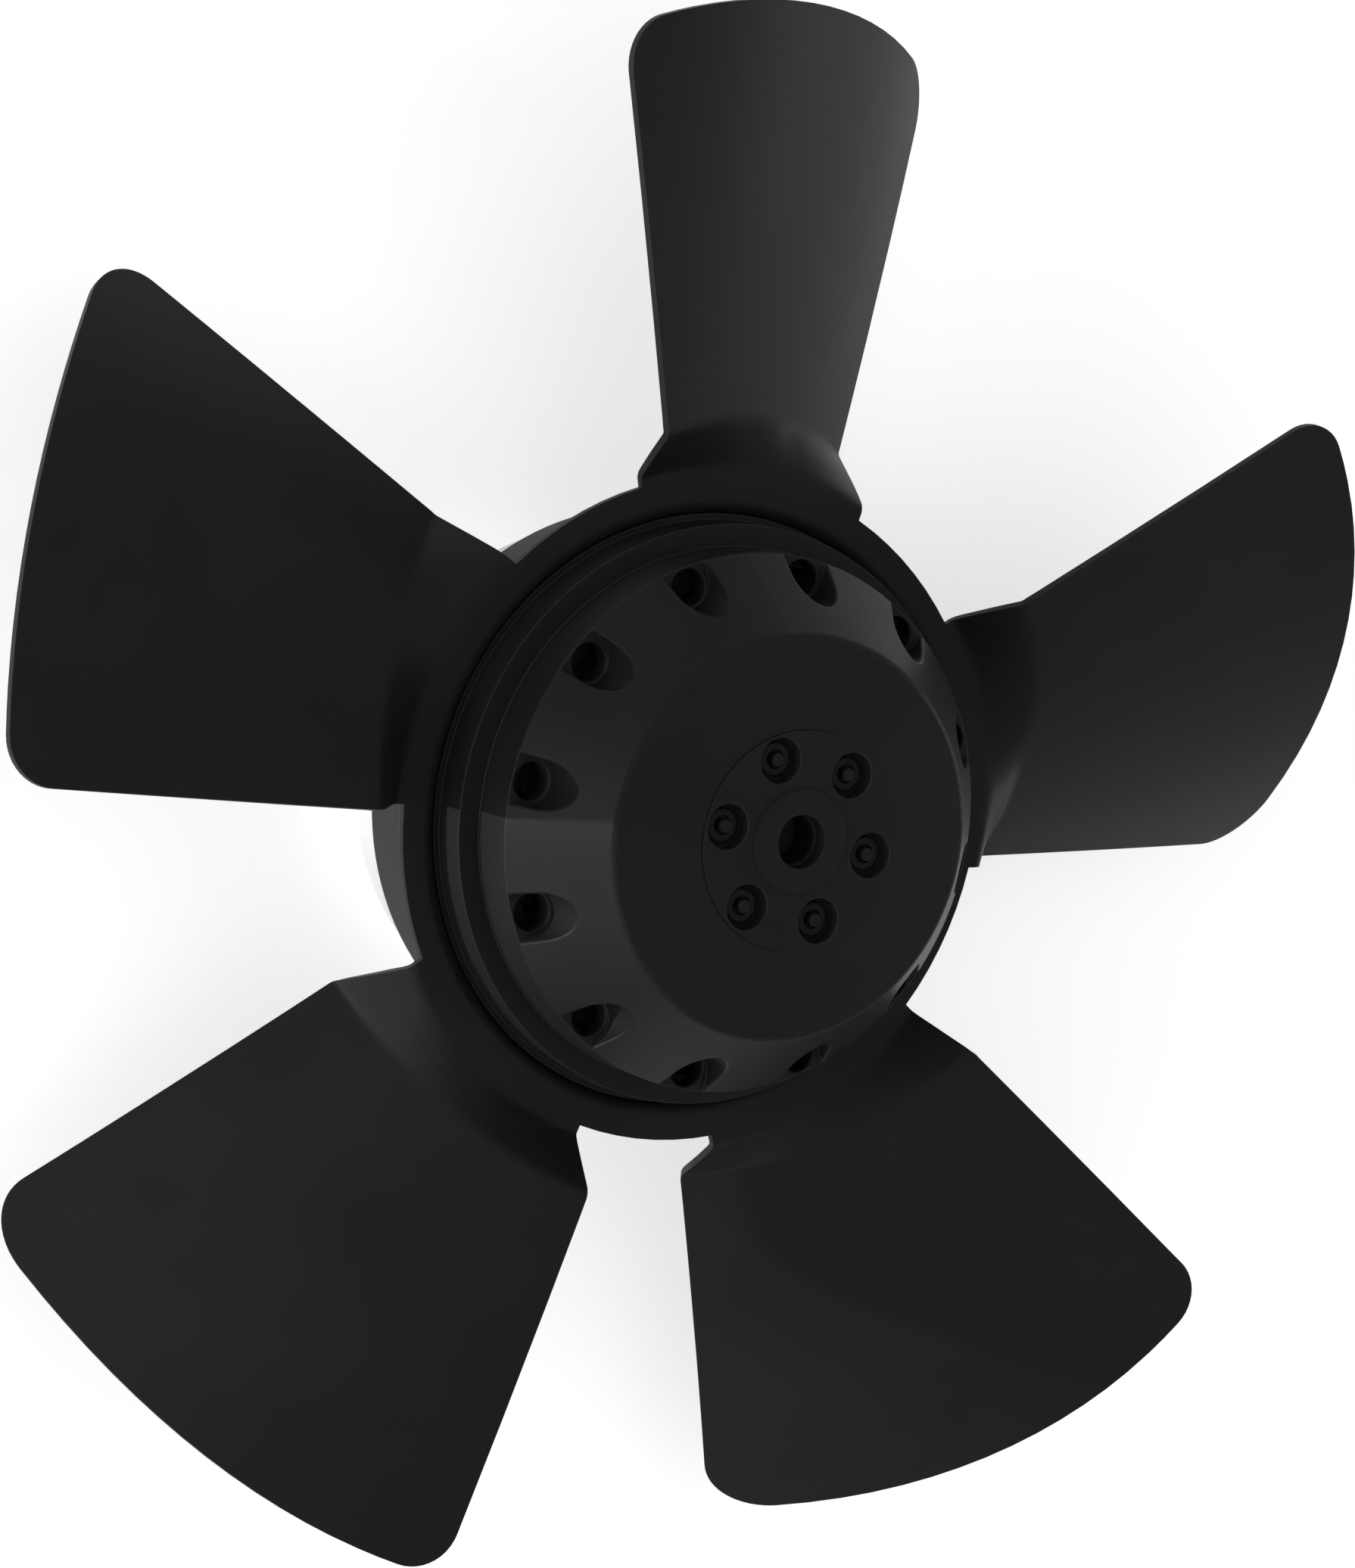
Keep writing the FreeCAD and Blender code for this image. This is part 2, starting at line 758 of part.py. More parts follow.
iron_high = level(iron_depth)
iron_low = level(iron_depth + iron_length)


def make_rotor_laminations():
    body = ring(body_inner_r - rotor_iron_gap, stator_r + air_gap, iron_low, iron_high)
    hole = rod(bar_r, iron_low - past, iron_high + past, Vector(bar_circle_r, 0, 0))
    return single(body.cut(repeated(hole, bar_count)))


def make_rotor_cage():
    inner = bar_circle_r - end_ring_width / 2
    outer = bar_circle_r + end_ring_width / 2
    front_ring = ring(outer, inner, iron_high, iron_high + end_ring_height)
    rear_ring = ring(outer, inner, iron_low - end_ring_height, iron_low)
    bar = rod(bar_r - bar_gap, iron_low - past, iron_high + past, Vector(bar_circle_r, 0, 0))
    return single(front_ring.fuse([rear_ring] + repeated(bar, bar_count)))


# Stator: slotted laminations on the tube, end boards and winding.

def slot_cutters(clearance, mouth):
    """Slots seen from above, smaller by the clearance; the mouth opens to the air gap."""
    length = slot_outer_r - slot_inner_r - 2 * clearance
    middle = (slot_outer_r + slot_inner_r) / 2
    low = iron_low - 2 * coil_height
    high = iron_high + 2 * coil_height
    body = block(length, slot_width - 2 * clearance, low, high, 0, middle)
    if mouth:
        reach = stator_r - slot_outer_r + 2 * sunk
        body = body.fuse(block(reach, slot_mouth, low, high, 0, slot_outer_r + reach / 2 - sunk))
    return repeated(body, slot_count)


def make_stator_laminations():
    body = ring(stator_r, tube_r + iron_fit, iron_low, iron_high)
    return single(body.cut(slot_cutters(0, True)))


def make_end_board(low):
    body = ring(stator_r - board_step, board_inner_r, low, low + board_thickness)
    return single(body.cut(slot_cutters(0, True)))


def make_winding():
    front = iron_high + board_thickness
    rear = iron_low - board_thickness
    front_coil = turned([
        (coil_inner_r, front, coil_foot_round), (coil_outer_r, front, coil_foot_round),
        (coil_outer_r, front + coil_height, coil_round),
        (coil_inner_r, front + coil_height, coil_round)])
    rear_coil = turned([
        (coil_inner_r, rear, coil_foot_round), (coil_outer_r, rear, coil_foot_round),
        (coil_outer_r, rear - coil_height, coil_round),
        (coil_inner_r, rear - coil_height, coil_round)])
    filled = ring(coil_outer_r, coil_inner_r, rear - sunk, front + sunk)
    bars = [filled.common(cutter) for cutter in slot_cutters(coil_gap, False)]
    return single(front_coil.fuse([rear_coil] + bars))


def make_thermal_cutout():
    """Capsule that lies on the rear end of the winding."""
    top = iron_low - board_thickness - coil_height
    case = block(cutout_width, cutout_length, top - cutout_height, top, cutout_angle,
                 cutout_circle_r)
    long_edges = [edge for edge in case.Edges if abs(edge.Length - cutout_height) < 0.01]
    return case.makeFillet(min(cutout_width, cutout_length) / 4, long_edges)


# Flange: one casting with plate, wall, bearing tube, feet, ribs and mounting bosses.

plate_rear = foot_height
plate_front = foot_height + plate_thickness


def mount_places(height):
    return [around(mount_circle_r, mount_phase + index * 360.0 / mount_count, height)
            for index in range(mount_count)]


def make_stator_flange():
    lip = level(flange_lip_depth)
    wide = flange_r + flange_draft
    body = turned([
        (centre_foot_r, 0), (centre_foot_r, plate_rear), (flange_r - foot_width, plate_rear),
        (flange_r - foot_width, 0), (flange_r, 0, flange_edge_round), (wide, lip),
        (wide - flange_lip_wall, lip), (flange_r - flange_wall, plate_front, flange_fillet),
        (tube_r, plate_front, flange_fillet), (tube_r, level(tube_front_depth)),
        (bearing_r, level(tube_front_depth)),
        (bearing_r, level(front_bearing_depth + bearing_width)),
        (tube_waist_r, level(front_bearing_depth + bearing_width)),
        (tube_waist_r, level(rear_bearing_depth - spring_space)),
        (bearing_r, level(rear_bearing_depth - spring_space)),
        (bearing_r, cap_depth), (cap_r + cap_fit, cap_depth), (cap_r + cap_fit, 0),
    ])
    tube_top = plate_front + rib_height
    extras = []
    for index in range(rib_count):
        angle = (index + 0.5) * 360.0 / rib_count
        inner_rib = block(flange_r - tube_r - sunk, rib_thickness, plate_rear, tube_top, angle,
                          (flange_r + tube_r) / 2)
        outer_rib = block(flange_r - centre_foot_r - foot_width + sunk, rib_thickness, 0.0,
                          plate_front, angle, (flange_r - foot_width + centre_foot_r) / 2)
        extras += [inner_rib, outer_rib]
    for place in mount_places(0):
        extras.append(rod(mount_boss_r, 0, plate_front + mount_boss_height, place))
    grommet_place = around(grommet_circle_r, grommet_angle)
    earth_place = around(earth_circle_r, earth_angle)
    extras.append(rod(earth_boss_r, earth_head_height + earth_inset, plate_front + sunk, earth_place))
    body = body.fuse(extras)
    cuts = [rod(mount_hole_r, -past, mount_hole_depth, place) for place in mount_places(0)]
    cuts.append(rod(grommet_hole_r, -past, tube_top + past, grommet_place))
    shank_end = earth_inset + earth_head_height + earth_shank_length
    cuts.append(rod(earth_shank_r + earth_fit, -past, shank_end + past, earth_place))
    return single(body.cut(cuts))


def make_rear_cap():
    outer = cap_r
    return turned([
        (0, cap_depth), (outer, cap_depth, cap_round), (outer, cap_inset),
        (outer - cap_sheet, cap_inset), (outer - cap_sheet, cap_depth - cap_sheet, cap_inner_round),
        (0, cap_depth - cap_sheet)])


def make_cable_grommet():
    """Rubber bush with a lip on each side of the plate."""
    neck = grommet_hole_r - grommet_fit
    lip = grommet_hole_r + grommet_lip
    body = turned([
        (grommet_bore_r, plate_rear - grommet_lip),
        (lip, plate_rear - grommet_lip, grommet_round), (lip, plate_rear - grommet_fit),
        (neck, plate_rear - grommet_fit), (neck, plate_front + grommet_fit),
        (lip, plate_front + grommet_fit), (lip, plate_front + grommet_lip, grommet_round),
        (grommet_bore_r, plate_front + grommet_lip)])
    return moved(body, around(grommet_circle_r, grommet_angle))


def make_earth_screw():
    head_low = earth_inset
    head_high = head_low + earth_head_height
    body = turned([
        (0, head_low), (earth_head_r, head_low, earth_head_round), (earth_head_r, head_high),
        (earth_shank_r, head_high), (earth_shank_r, head_high + earth_shank_length),
        (0, head_high + earth_shank_length)])
    floor = head_low + earth_slot_depth
    slots = [block(2 * earth_slot_reach, earth_slot_width, head_low - past, floor, angle, 0)
             for angle in (0, 90)]
    body = body.cut(slots)
    return moved(single(body), around(earth_circle_r, earth_angle))


pieces = {
    "impeller": [make_impeller()],
    "rotor_cup": [make_rotor_cup()],
    "rotor_hub": [make_hub()],
    "hub_rivets": make_rivets(),
    "rivet_pins": make_rivet_pins(),
    "shaft": [make_shaft()],
    "shaft_retaining_ring": [make_retaining_ring()],
    "rotor_laminations": [make_rotor_laminations()],
    "rotor_cage": [make_rotor_cage()],
    "stator_flange": [make_stator_flange()],
    "stator_laminations": [make_stator_laminations()],
    "front_end_board": [make_end_board(iron_high)],
    "rear_end_board": [make_end_board(iron_low - board_thickness)],
    "winding": [make_winding()],
    "thermal_cutout": [make_thermal_cutout()],
    "bearing_wave_spring": [make_wave_spring()],
    "rear_cap": [make_rear_cap()],
    "cable_grommet": [make_cable_grommet()],
    "earth_screw": [make_earth_screw()],
}
pieces.update(make_bearing("front", front_bearing_depth))
pieces.update(make_bearing("rear", rear_bearing_depth))

for piece_name, solids in pieces.items():
    save(piece_name, solids)
    print(piece_name, len(solids), all(solid.isValid() for solid in solids),
          round(sum(solid.Volume for solid in solids)))
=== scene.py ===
import math

import bmesh
import bpy
from mathutils import Matrix, Vector


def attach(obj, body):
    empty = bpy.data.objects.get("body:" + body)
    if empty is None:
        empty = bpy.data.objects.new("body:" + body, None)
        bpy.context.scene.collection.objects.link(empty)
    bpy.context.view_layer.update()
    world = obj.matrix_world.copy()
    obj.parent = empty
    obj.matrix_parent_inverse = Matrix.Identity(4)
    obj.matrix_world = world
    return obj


# Looks of an axial fan with an external rotor motor. Metres, +Z along the shaft to the front.
# The fan lies on its rear mounting face, and the first blade points along +Y.

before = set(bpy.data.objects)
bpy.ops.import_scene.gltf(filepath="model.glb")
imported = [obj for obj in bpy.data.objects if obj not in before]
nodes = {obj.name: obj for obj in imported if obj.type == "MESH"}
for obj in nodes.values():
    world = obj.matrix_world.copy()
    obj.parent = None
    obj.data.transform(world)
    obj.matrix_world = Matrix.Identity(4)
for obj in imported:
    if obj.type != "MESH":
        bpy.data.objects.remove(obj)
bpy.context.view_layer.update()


# Shader maths

edge_samples = 6
highlight_lean = (0.01, 0.16)             # lean of the rounded normal where the painted edge highlight starts and is full
# border along Z of the painted shade on the front ends
painted_shade_border = 0.001


class Wire:
    """One value or colour in a material's node tree. Arithmetic on it adds Math nodes."""

    def __init__(self, finish, socket):
        self.finish = finish
        self.socket = socket

    def math(self, operation, *values):
        sockets = {index: value for index, value in enumerate(values)}
        return self.finish.node("ShaderNodeMath", {"operation": operation}, sockets)

    def __add__(self, other):
        return self.math("ADD", self, other)

    def __sub__(self, other):
        return self.math("SUBTRACT", self, other)

    def __rsub__(self, other):
        return self.math("SUBTRACT", other, self)

    def __mul__(self, other):
        return self.math("MULTIPLY", self, other)

    __radd__ = __add__
    __rmul__ = __mul__

    def most(self, other):
        return self.math("MAXIMUM", self, other)

    def sine(self):
        return self.math("SINE", self)

    def held(self, low, high):
        """0 at low, 1 at high, and level beyond them."""
        return self.finish.node("ShaderNodeMapRange", {"clamp": True},
                                {"Value": self, "From Min": low, "From Max": high})


class Finish:
    """A procedural material. node() makes every node, and surface() ends it in the shader."""

    def __init__(self, name):
        self.material = bpy.data.materials.new(name)
        self.material.use_nodes = True
        self.tree = self.material.node_tree
        self.tree.nodes.clear()

    def node(self, kind, settings=None, sockets=None, out=0):
        made = self.tree.nodes.new(kind)
        for key, value in (settings or {}).items():
            setattr(made, key, value)
        for key, value in (sockets or {}).items():
            socket = made.inputs[key]
            if isinstance(value, Wire):
                self.tree.links.new(value.socket, socket)
            else:
                socket.default_value = value
        return Wire(self, made.outputs[out]) if made.outputs else None

    def place(self):
        return self.node("ShaderNodeTexCoord", out=3)

    def parts(self, vector):
        split = self.node("ShaderNodeSeparateXYZ", sockets={0: vector})
        outputs = split.socket.node.outputs
        return [Wire(self, outputs[index]) for index in range(3)]

    def grain(self, size, detail=3.0, roughness=0.55, stretch=(1.0, 1.0, 1.0)):
        """Noise from 0 to 1 whose features are about size metres across."""
        spread = self.node("ShaderNodeVectorMath", {"operation": "MULTIPLY"},
                           {0: self.place(), 1: stretch})
        return self.node("ShaderNodeTexNoise", {}, {
            "Vector": spread, "Scale": 1.0 / size, "Detail": detail, "Roughness": roughness})

    def blend(self, share, first, second):
        """Colour between two colours."""
        mixed = self.node("ShaderNodeMix", {"data_type": "RGBA"}, {0: share}, out=2)
        inputs = mixed.socket.node.inputs
        for socket, value in ((inputs[6], first), (inputs[7], second)):
            if isinstance(value, Wire):
                self.tree.links.new(value.socket, socket)
            else:
                socket.default_value = (*value, 1.0)
        return mixed

    def soft_edges(self, radius):
        """Normal that rounds the sharp edges of a painted or cast piece."""
        return self.node("ShaderNodeBevel", {"samples": edge_samples}, {"Radius": radius})

    def edge_highlight_mask(self, rounded):
        """Mask of the painted edge highlight: 0 on even faces and up to 1 along edges, from the
        rounded normal's lean.
        """
        facing = self.node("ShaderNodeNewGeometry", out=1)
        lean = self.node("ShaderNodeVectorMath", {"operation": "DOT_PRODUCT"},
                         {0: rounded, 1: facing}, out=1)
        return (1 - lean).held(*highlight_lean)

    def relief(self, height, depth, over=None):
        sockets = {"Height": height, "Distance": depth, "Strength": 1.0}
        if over is not None:
            sockets["Normal"] = over
        return self.node("ShaderNodeBump", {}, sockets)

    def painted_front_shade(self, level):
        """1 in front of a height along Z, where the shaft's end and the core's front ends are
        coloured dark as painted shade.
        """
        return self.parts(self.place())[2].held(level, level + painted_shade_border)

    def surface(self, colour, roughness, metallic=0.0, normal=None, specular=0.5, coat=0.0):
        fixed = {"Metallic": metallic, "Specular IOR Level": specular,
                 "Roughness": roughness, "Coat Weight": coat}
        if isinstance(colour, Wire):
            fixed["Base Color"] = colour
        else:
            fixed["Base Color"] = (*colour, 1.0)
        if normal is not None:
            fixed["Normal"] = normal
        shader = self.node("ShaderNodeBsdfPrincipled", {}, fixed)
        self.node("ShaderNodeOutputMaterial", {}, {"Surface": shader})
        return self.material


# Finishes

paint_black = (0.0125, 0.0125, 0.0127)
rear_paint = (0.021, 0.021, 0.0212)
# near-black painted shade on the front ends of the cage, winding and boards seen through the vents
painted_shade_black = (0.050, 0.049, 0.047)

rear_paint_top = 0.0600             # heights along Z where the paler rear coat ends, and where painted shade starts on the shaft, cage, boards and winding
rear_paint_border = 0.0002
shaft_shade_start = 0.100
cast_shade_start = 0.072
board_shade_start = 0.0730
winding_shade_start = 0.075

sheet_pitch = 0.0005                # of the stacked sheets in the cores
wire_pitch = 0.0018                 # of the turns that show on the winding
spangle_size = 1 / 700              # of the zinc plating


def shade(share, colour):
    return [share * level for level in colour]


def black_paint(name, roughness, peel, edge, painted_edge_highlight, thin_rear=False):
    """Black powder coat: fine orange peel, and faint cloudy differences of gloss.
    Edges are rounded by the radius edge and carry a painted highlight, paler than the faces by the
    given factor.
    With thin_rear the coat is thinner and paler towards the rear."""
    finish = Finish(name)
    cloud = finish.grain(0.045, 2.0)
    speck = finish.grain(0.0016, 2.0)
    colour = finish.blend(cloud.held(0.35, 0.7), shade(0.92, paint_black),
                          shade(1.12, paint_black))
    if thin_rear:
        height = finish.parts(finish.place())[2]
        in_front = height.held(rear_paint_top, rear_paint_top + rear_paint_border)
        colour = finish.blend(in_front, rear_paint, colour)
    rounded = finish.soft_edges(edge)
    # painted highlight: rounded edges are coloured paler than the faces
    colour = finish.blend(finish.edge_highlight_mask(rounded), colour, shade(painted_edge_highlight, paint_black))
    gloss = roughness + (cloud - 0.5) * 0.08 + (speck - 0.5) * 0.05
    return finish.surface(colour, gloss, specular=0.10,
                          normal=finish.relief(speck, peel, rounded))


def ground_steel(name, base, roughness, along):
    """Turned or ground steel with fine marks running round or along."""
    finish = Finish(name)
    marks = finish.grain(0.0012, 4.0, stretch=along)
    cloud = finish.grain(0.02, 2.0)
    colour = finish.blend(cloud.held(0.3, 0.7), shade(0.9, base), base)
    # painted shade: the shaft's front end in its bore is coloured like the black paint
    shaded_end = finish.painted_front_shade(shaft_shade_start)
    return finish.surface(finish.blend(shaded_end, colour, paint_black),
                          roughness + (marks - 0.5) * 0.14 + shaded_end * 0.2,
                          metallic=1 - shaded_end, normal=finish.relief(marks, 0.00002))


def laminated_steel(name):
    """Edges of sheets stacked along Z."""
    finish = Finish(name)
    height = finish.parts(finish.place())[2]
    wave = (height * (2 * math.pi / sheet_pitch)).sine()
    cloud = finish.grain(0.006, 3.0)
    colour = finish.blend(cloud.held(0.3, 0.75), (0.20, 0.20, 0.21), (0.36, 0.36, 0.37))
    return finish.surface(colour, 0.45 + (cloud - 0.5) * 0.2, metallic=1.0,
                          normal=finish.relief(wave, 0.00004))


def cast_aluminium(name):
    """Pale die-cast skin with a fine sandy grain."""
    finish = Finish(name)
    sand = finish.grain(0.0009, 3.0, 0.6)
    cloud = finish.grain(0.03, 3.0)
    colour = finish.blend(cloud.held(0.3, 0.75), (0.60, 0.605, 0.61), (0.68, 0.68, 0.685))
    # painted shade: the cage's front end, seen through the vents, is coloured near-black
    shaded_front = finish.painted_front_shade(cast_shade_start)
    return finish.surface(finish.blend(shaded_front, colour, painted_shade_black),
                          0.5 + (sand - 0.5) * 0.2, metallic=0.35 * (1 - shaded_front),
                          normal=finish.relief(sand, 0.00005, finish.soft_edges(0.0006)))


def copper_winding(name):
    """Lacquered wires lying round the core."""
    finish = Finish(name)
    x, y, z = finish.parts(finish.place())
    bend = finish.grain(0.012, 2.0)
    reach = finish.node("ShaderNodeVectorMath", {"operation": "LENGTH"},
                        {0: finish.node("ShaderNodeCombineXYZ", sockets={0: x, 1: y})}, out=1)
    turns = ((reach + z) * (2 * math.pi / wire_pitch) + bend * 9.0).sine()
    colour = finish.blend(turns.held(-1.0, 1.0), (0.20, 0.065, 0.02), (0.56, 0.22, 0.085))
    # painted shade: the winding's front end, seen through the vents, is coloured near-black
    shaded_front = finish.painted_front_shade(winding_shade_start)
    return finish.surface(finish.blend(shaded_front, colour, painted_shade_black),
                          0.32 + (bend - 0.5) * 0.15 + shaded_front * 0.3,
                          metallic=0.8 * (1 - shaded_front),
                          normal=finish.relief(turns, 0.0003), coat=0.3 * (1 - shaded_front))


def fibre_board(name):
    """Pale board with long fibres, coloured near-black at the front end as painted shade."""
    finish = Finish(name)
    fibre = finish.grain(0.0015, 5.0, 0.7, (1.0, 5.0, 1.0))
    colour = finish.blend(fibre.held(0.3, 0.7), (0.44, 0.33, 0.18), (0.60, 0.49, 0.31))
    # painted shade: the board's front end, seen through the vents, is coloured near-black
    shaded_front = finish.painted_front_shade(board_shade_start)
    return finish.surface(finish.blend(shaded_front, colour, painted_shade_black),
                          0.7 + (fibre - 0.5) * 0.15, normal=finish.relief(fibre, 0.00005))


def soft_rubber(name):
    """Moulded rubber with a little dust."""
    finish = Finish(name)
    dust = finish.grain(0.004, 3.0)
    skin = finish.grain(0.0005, 2.0)
    colour = finish.blend(dust.held(0.4, 0.8), (0.016, 0.016, 0.017), (0.04, 0.04, 0.042))
    return finish.surface(colour, 0.62 + (dust - 0.5) * 0.2, normal=finish.relief(skin, 0.00002))


def plain_metal(name, base, roughness):
    """Plated metal with faint crystals."""
    finish = Finish(name)
    cloud = finish.grain(0.005, 3.0)
    spangle = finish.node("ShaderNodeTexVoronoi", {"feature": "F1"},
                          {"Vector": finish.place(), "Scale": 1 / spangle_size})
    colour = finish.blend(spangle.held(0.1, 0.8), base, shade(0.86, base))
    return finish.surface(colour, roughness + (cloud - 0.5) * 0.12, metallic=1.0)


rotor_paint = black_paint("rotor_paint", roughness=0.46, peel=0.00003, edge=0.0005,
                          painted_edge_highlight=3.5, thin_rear=True)
hub_paint = black_paint("hub_paint", roughness=0.46, peel=0.00003, edge=0.0002, painted_edge_highlight=6.0)
impeller_paint = black_paint("impeller_paint", roughness=0.44, peel=0.00002, edge=0.0004,
                             painted_edge_highlight=3.5)
rivet_paint = black_paint("rivet_paint", roughness=0.5, peel=0.00002, edge=0.0002, painted_edge_highlight=6.0)
steel = ground_steel("ground_steel", (0.56, 0.56, 0.57), 0.28, (1.0, 1.0, 12.0))
dark_steel = ground_steel("spring_steel", (0.19, 0.19, 0.21), 0.35, (1.0, 1.0, 4.0))
bright_steel = ground_steel("bearing_steel", (0.70, 0.70, 0.72), 0.14, (1.0, 1.0, 1.0))
iron = laminated_steel("core_sheets")
cast = cast_aluminium("cast_aluminium")
copper = copper_winding("copper_winding")
board = fibre_board("fibre_board")
rubber = soft_rubber("grommet_rubber")
zinc = plain_metal("zinc_plate", (0.62, 0.63, 0.65), 0.33)
brass = plain_metal("screw_brass", (0.70, 0.50, 0.20), 0.3)
sleeve = fibre_board("cutout_sleeve")

node_finish = {
    "impeller": impeller_paint, "rotor_cup": rotor_paint, "rotor_hub": hub_paint,
    "hub_rivets": rivet_paint, "rivet_pins": rivet_paint, "shaft": steel,
    "shaft_retaining_ring": dark_steel, "rotor_laminations": iron, "rotor_cage": cast,
    "stator_flange": cast, "stator_laminations": iron, "front_end_board": board,
    "rear_end_board": board, "winding": copper, "thermal_cutout": sleeve,
    "bearing_wave_spring": dark_steel, "rear_cap": zinc, "cable_grommet": rubber,
    "earth_screw": brass,
}
for end in ("front", "rear"):
    node_finish[end + "_bearing_inner_ring"] = steel
    node_finish[end + "_bearing_outer_ring"] = steel
    node_finish[end + "_bearing_balls"] = bright_steel
    node_finish[end + "_bearing_cage"] = zinc
    node_finish[end + "_bearing_shields"] = zinc

for name, node in nodes.items():
    node.data.materials.clear()
    node.data.materials.append(node_finish[name])


# Small pieces of the rear face

def make_piece(name, points, faces, finish):
    mesh = bpy.data.meshes.new(name)
    mesh.from_pydata(points, [], faces)
    shape = bmesh.new()
    shape.from_mesh(mesh)
    bmesh.ops.recalc_face_normals(shape, faces=shape.faces)
    shape.to_mesh(mesh)
    shape.free()
    mesh.materials.append(finish)
    piece = bpy.data.objects.new(name, mesh)
    bpy.context.collection.objects.link(piece)
    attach(piece, "stator")


def at_angle(radius, angle):
    return radius * math.cos(angle), radius * math.sin(angle)


def make_mounting_threads():
    """One helical ridge in each of the four mounting holes."""
    holes, first_bearing, circle_r = 4, 45, 0.050
    hole_r, crest_r = 0.0030, 0.00256
    pitch, half_root = 0.0010, 0.00044
    low, high = 0.0008, 0.0112
    steps = 24
    count = int((high - low) / pitch * steps)
    points, faces = [], []
    for hole in range(holes):
        x, y = at_angle(circle_r, math.radians(first_bearing + 360 / holes * hole))
        first = len(points)
        for step in range(count + 1):
            across, along = at_angle(1.0, 2 * math.pi * step / steps)
            height = low + pitch * step / steps
            for radius, shift in ((hole_r, -half_root), (crest_r, 0.0), (hole_r, half_root)):
                points.append((x + radius * across, y + radius * along, height + shift))
        for step in range(count):
            here = first + 3 * step
            for side in range(3):
                other = (side + 1) % 3
                faces.append((here + side, here + other, here + 3 + other, here + 3 + side))
        last = first + 3 * count
        faces.append((first, first + 1, first + 2))
        faces.append((last, last + 1, last + 2))
    make_piece("mounting_threads", points, faces, cast)


def make_earth_washer():
    """Toothed rim of the lock washer, round the earth screw's head and against its boss."""
    centre_x, inner_r, valley_r, tooth_r = 0.047, 0.0038, 0.0043, 0.0048
    seat, thickness, lift, twist = 0.0024, 0.0004, 0.0001, 0.0002
    teeth, steps = 12, 8
    tooth_start, tooth_middle, tooth_end = 2, 3.5, 5
    points, faces = [], []
    count = teeth * steps
    for index in range(count):
        step = index % steps
        outer_r, lean = valley_r, 0.0
        if tooth_start <= step <= tooth_end:
            outer_r = tooth_r
            lean = twist * max(0.0, (tooth_middle - step) / (tooth_middle - tooth_start))
        across, along = at_angle(1.0, 2 * math.pi * index / count)
        for radius, height in ((inner_r, seat), (outer_r, seat - lift - lean),
                               (outer_r, seat - thickness - lean), (inner_r, seat - thickness)):
            points.append((centre_x + radius * across, radius * along, height))
    for index in range(count):
        here, following = 4 * index, 4 * ((index + 1) % count)
        for side in range(4):
            other = (side + 1) % 4
            faces.append((here + side, here + other, following + other, following + side))
    make_piece("earth_washer", points, faces, zinc)


make_mounting_threads()
make_earth_washer()


# Floor, world, lamps and camera

floor_half = 6.0
floor_drop = 0.0002
floor_glow = 0.56
world_light = 0.65
world_seen = 1.25
lamp_aim = Vector((0.0, 0.0, 0.06))
lamp_distance = 2.4

camera_place = (-0.7935, 0.1516, 1.3348)
camera_right = Vector((0.8483, 0.1376, 0.5114)).normalized()
camera_back = Vector((-0.5254, 0.0968, 0.8454)).normalized()
camera_lens = 123.5


def white_to_the_eye(name, colour, glow):
    """Matt surface that a direct look or a reflection sees a little brighter than lit."""
    finish = Finish(name)
    path = finish.node("ShaderNodeLightPath").socket.node.outputs
    seen = Wire(finish, path["Is Camera Ray"]).most(Wire(finish, path["Is Glossy Ray"]))
    seen = seen.most(Wire(finish, path["Is Transmission Ray"]))
    matt = finish.node("ShaderNodeBsdfDiffuse", {}, {"Color": (*colour, 1.0)})
    light = finish.node("ShaderNodeEmission", {}, {"Strength": seen * glow})
    both = finish.node("ShaderNodeAddShader", {}, {0: matt, 1: light})
    finish.node("ShaderNodeOutputMaterial", {}, {"Surface": both})
    return finish.material


def make_floor():
    mesh = bpy.data.meshes.new("floor")
    shape = bmesh.new()
    bmesh.ops.create_grid(shape, x_segments=1, y_segments=1, size=floor_half)
    shape.to_mesh(mesh)
    shape.free()
    floor = bpy.data.objects.new("floor", mesh)
    bpy.context.collection.objects.link(floor)
    floor.location.z = -floor_drop
    floor.data.materials.append(white_to_the_eye("floor_white", (0.88, 0.88, 0.88), floor_glow))


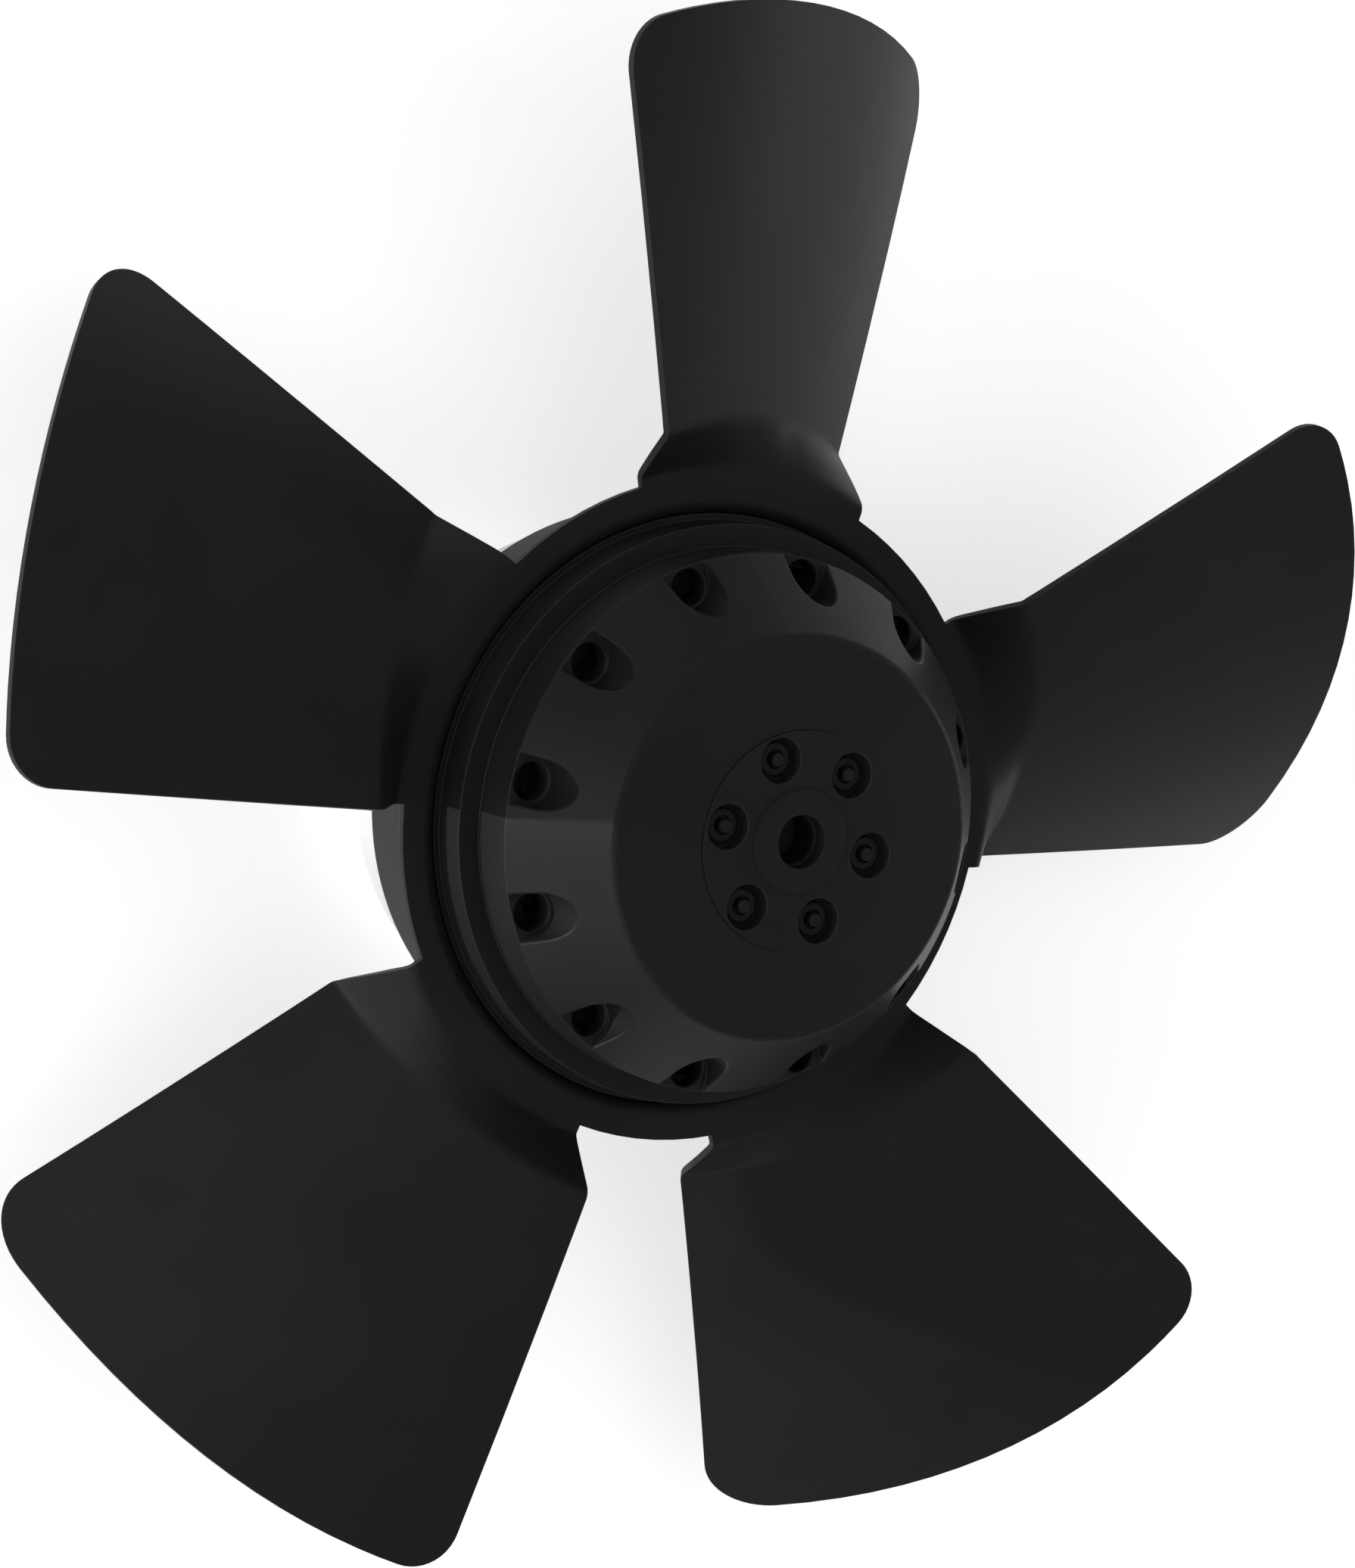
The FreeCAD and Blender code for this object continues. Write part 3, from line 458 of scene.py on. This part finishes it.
def make_world():
    world = bpy.data.worlds.new("studio")
    bpy.context.scene.world = world
    world.use_nodes = True
    tree = world.node_tree
    tree.nodes.clear()
    path = tree.nodes.new("ShaderNodeLightPath")
    strength = tree.nodes.new("ShaderNodeMapRange")
    strength.inputs["To Min"].default_value = world_light
    strength.inputs["To Max"].default_value = world_seen
    tree.links.new(path.outputs["Is Camera Ray"], strength.inputs["Value"])
    light = tree.nodes.new("ShaderNodeBackground")
    tree.links.new(strength.outputs[0], light.inputs["Strength"])
    out = tree.nodes.new("ShaderNodeOutputWorld")
    tree.links.new(light.outputs[0], out.inputs[0])


def make_lamp(name, bearing, elevation, size, watts, low=False):
    """Round soft lamp, placed by its bearing and elevation seen from the fan, in degrees.
    A low one stands under the floor's level, and only the fan shades it."""
    lamp = bpy.data.lights.new(name, "AREA")
    lamp.shape = "DISK"
    lamp.size = size
    lamp.energy = watts
    holder = bpy.data.objects.new(name, lamp)
    turn, tilt = math.radians(bearing), math.radians(elevation)
    way = Vector((math.cos(turn) * math.cos(tilt), math.sin(turn) * math.cos(tilt), math.sin(tilt)))
    holder.location = lamp_aim + way * lamp_distance
    holder.rotation_euler = (-way).to_track_quat("-Z", "Y").to_euler()
    bpy.context.collection.objects.link(holder)
    if low:
        shades = bpy.data.collections.new(name + "_shades")
        for node in nodes.values():
            shades.objects.link(node)
        holder.light_linking.blocker_collection = shades


def make_camera():
    upwards = camera_back.cross(camera_right).normalized()
    back = camera_right.cross(upwards)
    turn = Matrix((camera_right, upwards, back)).transposed()
    camera = bpy.data.cameras.new("camera")
    camera.lens = camera_lens
    camera.sensor_width = 36.0
    camera.clip_start = 0.05
    camera.clip_end = 50.0
    holder = bpy.data.objects.new("camera", camera)
    holder.matrix_world = Matrix.Translation(camera_place) @ turn.to_4x4()
    bpy.context.collection.objects.link(holder)
    bpy.context.scene.camera = holder


make_floor()
make_world()
make_lamp("key", 182.0, -8.0, 0.04, 48.0, low=True)
make_lamp("left", 180.0, 18.0, 1.4, 14.3)
make_lamp("lower_left", 225.0, 18.0, 1.4, 8.4)
make_lamp("right", 10.0, 12.0, 0.10, 3.6)
make_camera()
bpy.context.scene.view_settings.view_transform = "Standard"
